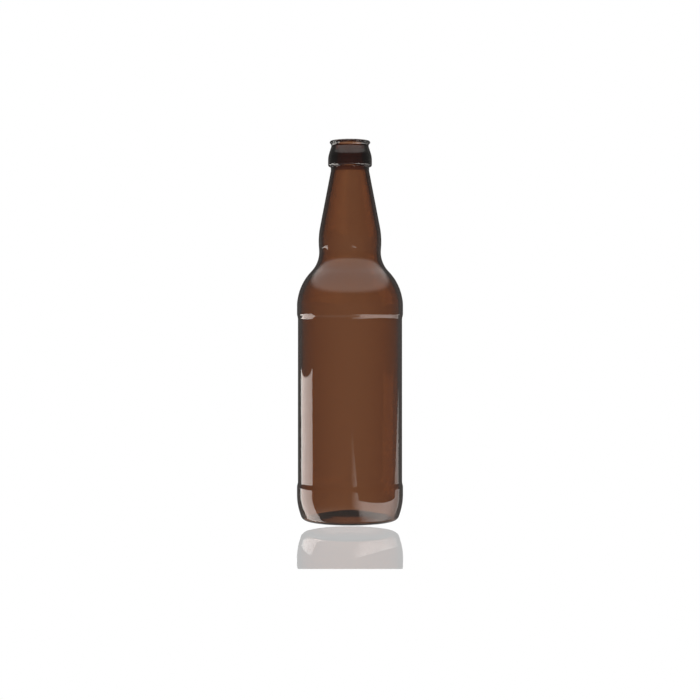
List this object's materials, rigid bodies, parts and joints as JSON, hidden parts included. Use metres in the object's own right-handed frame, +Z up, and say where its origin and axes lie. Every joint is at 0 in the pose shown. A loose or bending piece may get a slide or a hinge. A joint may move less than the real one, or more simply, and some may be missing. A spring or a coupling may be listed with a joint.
{
  "type": "beer bottle",
  "caption": "Empty brown glass bottle with a collared crown finish, conical neck, round shoulder, sunk label panel between raised bands and a pushed-up base.",
  "frame": {"origin": "centre of the base, on the plane of the standing ring", "axes": "+Z up along the bottle's axis, towards the mouth; the bottle is round, so +X and +Y are any two level directions"},
  "size_m": [0.0696, 0.0696, 0.2488],
  "materials": {
    "amber_glass": "clear polished brown bottle glass"
  },
  "bodies": {
    "root": {"bottle": "amber_glass"}
  },
  "joints": []
}
